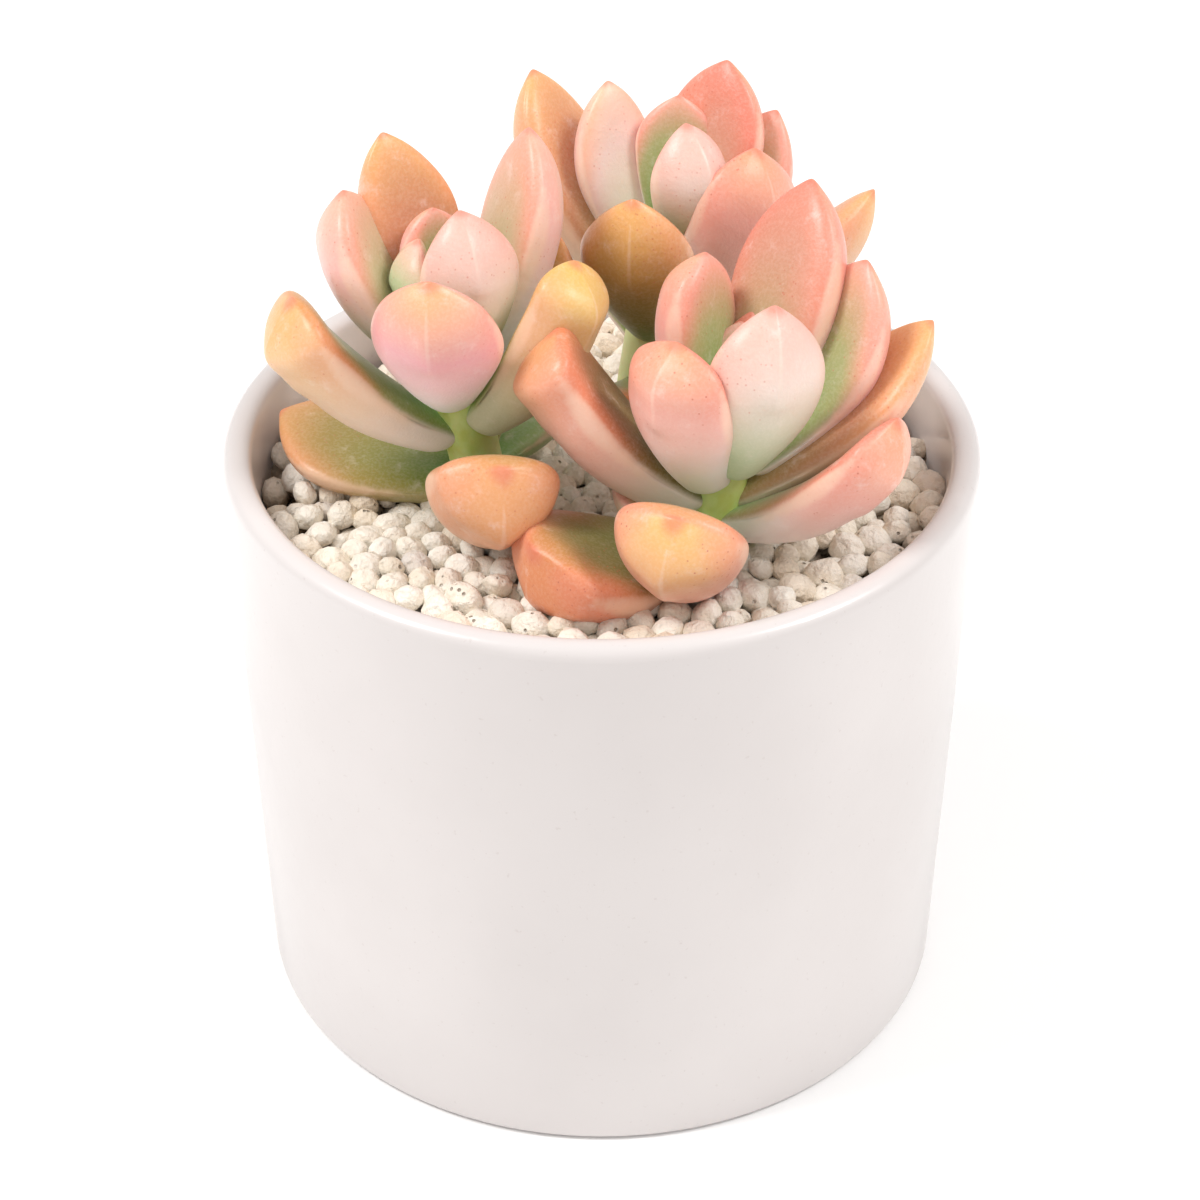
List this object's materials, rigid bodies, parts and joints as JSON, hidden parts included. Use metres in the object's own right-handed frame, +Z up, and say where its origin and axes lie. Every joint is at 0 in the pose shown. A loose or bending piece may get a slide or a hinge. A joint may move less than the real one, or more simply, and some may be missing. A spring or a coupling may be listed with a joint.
{
  "type": "potted succulent",
  "caption": "Fleshy-leaved rosette succulents on short stems, in a white glazed round pot topped with white pumice pellets.",
  "frame": {"origin": "centre of the pot's foot, on the surface that it stands on", "axes": "+Z up the pot's axis, -Y towards the side with the low front leaves"},
  "size_m": [0.095, 0.095, 0.1163],
  "materials": {
    "pot_glaze": "smooth white glaze, satin gloss",
    "potting_soil": "dark crumbly soil",
    "pumice": "matt porous pellets",
    "stem_skin": "smooth green stem",
    "leaf_skin": "waxy leaf, coral and pink over green"
  },
  "bodies": {
    "root": {"ceramic_pot": "pot_glaze", "potting_soil": "potting_soil", "pumice_layer": "pumice", "left_stem": "stem_skin", "right_stem": "stem_skin", "back_stem": "stem_skin", "left_leaf_01": "leaf_skin", "left_leaf_02": "leaf_skin", "left_leaf_03": "leaf_skin", "left_leaf_04": "leaf_skin", "left_leaf_05": "leaf_skin", "left_leaf_06": "leaf_skin", "left_leaf_07": "leaf_skin", "left_leaf_08": "leaf_skin", "left_leaf_09": "leaf_skin", "left_leaf_10": "leaf_skin", "left_leaf_11": "leaf_skin", "left_leaf_12": "leaf_skin", "left_leaf_13": "leaf_skin", "left_leaf_14": "leaf_skin", "left_leaf_15": "leaf_skin", "right_leaf_01": "leaf_skin", "right_leaf_02": "leaf_skin", "right_leaf_03": "leaf_skin", "right_leaf_04": "leaf_skin", "right_leaf_05": "leaf_skin", "right_leaf_06": "leaf_skin", "right_leaf_07": "leaf_skin", "right_leaf_08": "leaf_skin", "right_leaf_09": "leaf_skin", "right_leaf_10": "leaf_skin", "right_leaf_11": "leaf_skin", "right_leaf_12": "leaf_skin", "right_leaf_13": "leaf_skin", "right_leaf_14": "leaf_skin", "right_leaf_15": "leaf_skin", "back_leaf_01": "leaf_skin", "back_leaf_02": "leaf_skin", "back_leaf_03": "leaf_skin", "back_leaf_04": "leaf_skin", "back_leaf_05": "leaf_skin", "back_leaf_06": "leaf_skin", "back_leaf_07": "leaf_skin", "back_leaf_08": "leaf_skin", "back_leaf_09": "leaf_skin", "back_leaf_10": "leaf_skin", "back_leaf_11": "leaf_skin", "back_leaf_12": "leaf_skin", "back_leaf_13": "leaf_skin", "back_leaf_14": "leaf_skin"}
  },
  "joints": []
}
